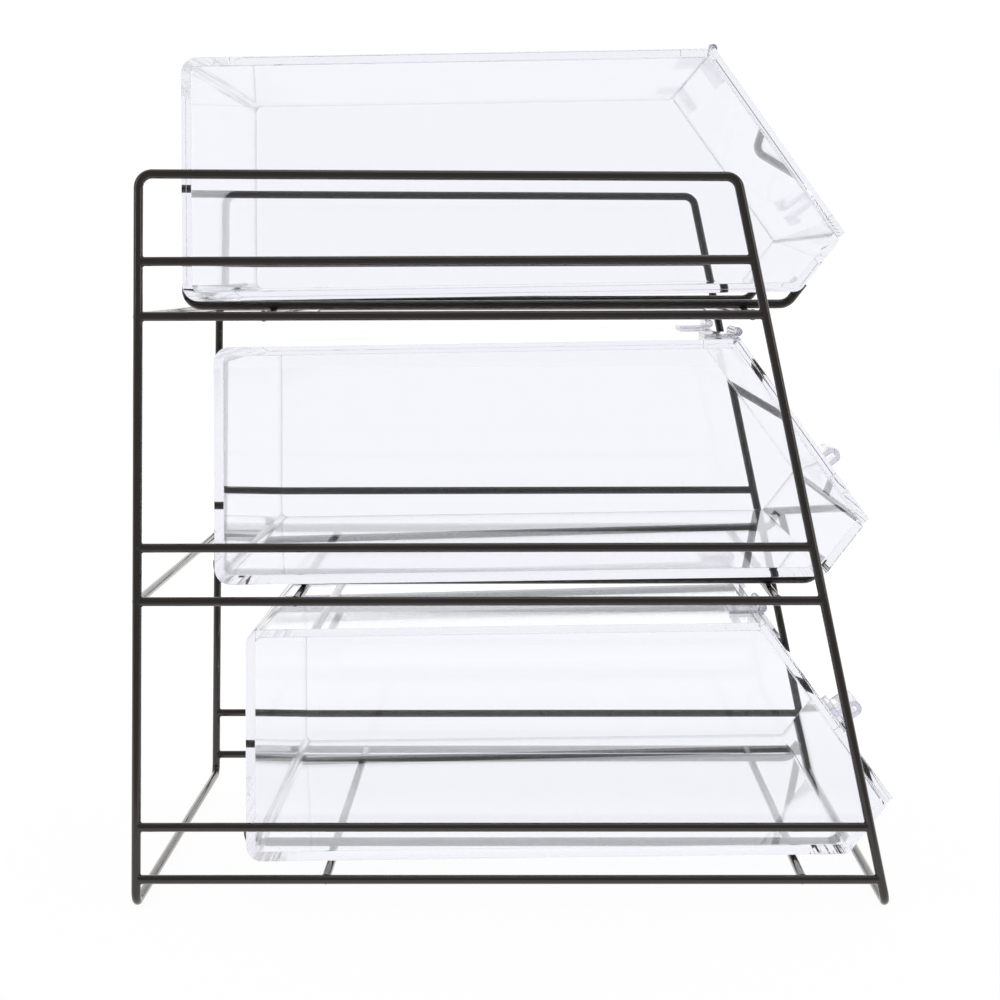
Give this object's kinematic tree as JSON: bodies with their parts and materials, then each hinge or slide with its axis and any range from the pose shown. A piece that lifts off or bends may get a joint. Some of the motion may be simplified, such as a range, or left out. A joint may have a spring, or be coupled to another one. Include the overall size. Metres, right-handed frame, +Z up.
{
  "type": "tiered wire basket",
  "caption": "Tiered wire rack with stepped shelves that hold clear lift-out bins, each with a sloping flip-up front door on clear hinges.",
  "frame": {"origin": "on the floor under the middle of the whole object", "axes": "+X towards the front, where the doors are; +Y to the rack's left side; +Z up"},
  "size_m": [0.4318, 0.3308, 0.4827],
  "materials": {
    "black_wire": "satin black powder coat",
    "clear_sheet": "clear polished sheet",
    "clear_hinge": "clear moulded plastic"
  },
  "bodies": {
    "rack": {"right_frame": "black_wire", "left_frame": "black_wire", "bottom_right_shelf_rail": "black_wire", "bottom_right_guard_rail": "black_wire", "bottom_right_runner": "black_wire", "bottom_left_shelf_rail": "black_wire", "bottom_left_guard_rail": "black_wire", "bottom_left_runner": "black_wire", "bottom_rear_cross_wire": "black_wire", "bottom_front_cross_wire": "black_wire", "middle_right_shelf_rail": "black_wire", "middle_right_guard_rail": "black_wire", "middle_right_runner": "black_wire", "middle_left_shelf_rail": "black_wire", "middle_left_guard_rail": "black_wire", "middle_left_runner": "black_wire", "middle_rear_cross_wire": "black_wire", "middle_front_cross_wire": "black_wire", "middle_rear_tie": "black_wire", "top_right_shelf_rail": "black_wire", "top_right_guard_rail": "black_wire", "top_right_runner": "black_wire", "top_left_shelf_rail": "black_wire", "top_left_guard_rail": "black_wire", "top_left_runner": "black_wire", "top_rear_cross_wire": "black_wire", "top_front_cross_wire": "black_wire", "top_rear_tie": "black_wire"},
    "bottom_bin": {"bottom_bin_wrap": "clear_sheet", "bottom_bin_right_side": "clear_sheet", "bottom_bin_right_hinge_leaf": "clear_hinge", "bottom_bin_left_side": "clear_sheet", "bottom_bin_left_hinge_leaf": "clear_hinge"},
    "bottom_door": {"bottom_door_panel": "clear_sheet", "bottom_door_pull": "clear_sheet", "bottom_door_right_hinge_leaf": "clear_hinge", "bottom_door_left_hinge_leaf": "clear_hinge"},
    "middle_bin": {"middle_bin_wrap": "clear_sheet", "middle_bin_right_side": "clear_sheet", "middle_bin_right_hinge_leaf": "clear_hinge", "middle_bin_left_side": "clear_sheet", "middle_bin_left_hinge_leaf": "clear_hinge"},
    "middle_door": {"middle_door_panel": "clear_sheet", "middle_door_pull": "clear_sheet", "middle_door_right_hinge_leaf": "clear_hinge", "middle_door_left_hinge_leaf": "clear_hinge"},
    "top_bin": {"top_bin_wrap": "clear_sheet", "top_bin_right_side": "clear_sheet", "top_bin_right_hinge_leaf": "clear_hinge", "top_bin_left_side": "clear_sheet", "top_bin_left_hinge_leaf": "clear_hinge"},
    "top_door": {"top_door_panel": "clear_sheet", "top_door_pull": "clear_sheet", "top_door_right_hinge_leaf": "clear_hinge", "top_door_left_hinge_leaf": "clear_hinge"}
  },
  "joints": [
    {"name": "bottom_bin_lift", "type": "slide", "parent": "rack", "child": "bottom_bin", "axis": [0, 0, 1], "range_m": [0, 0.003]},
    {"name": "bottom_door_hinge", "type": "hinge", "parent": "bottom_bin", "child": "bottom_door", "pos_m": [0.14257, 0, 0.16406], "axis": [0, -1, 0], "range_deg": [0, 80]},
    {"name": "middle_bin_lift", "type": "slide", "parent": "rack", "child": "middle_bin", "axis": [0, 0, 1], "range_m": [0, 0.003]},
    {"name": "middle_door_hinge", "type": "hinge", "parent": "middle_bin", "child": "middle_door", "pos_m": [0.12727, 0, 0.32205], "axis": [0, -1, 0], "range_deg": [0, 80]},
    {"name": "top_bin_lift", "type": "slide", "parent": "rack", "child": "top_bin", "axis": [0, 0, 1], "range_m": [0, 0.12]},
    {"name": "top_door_hinge", "type": "hinge", "parent": "top_bin", "child": "top_door", "pos_m": [0.11197, 0, 0.48006], "axis": [0, -1, 0], "range_deg": [0, 225]}
  ]
}
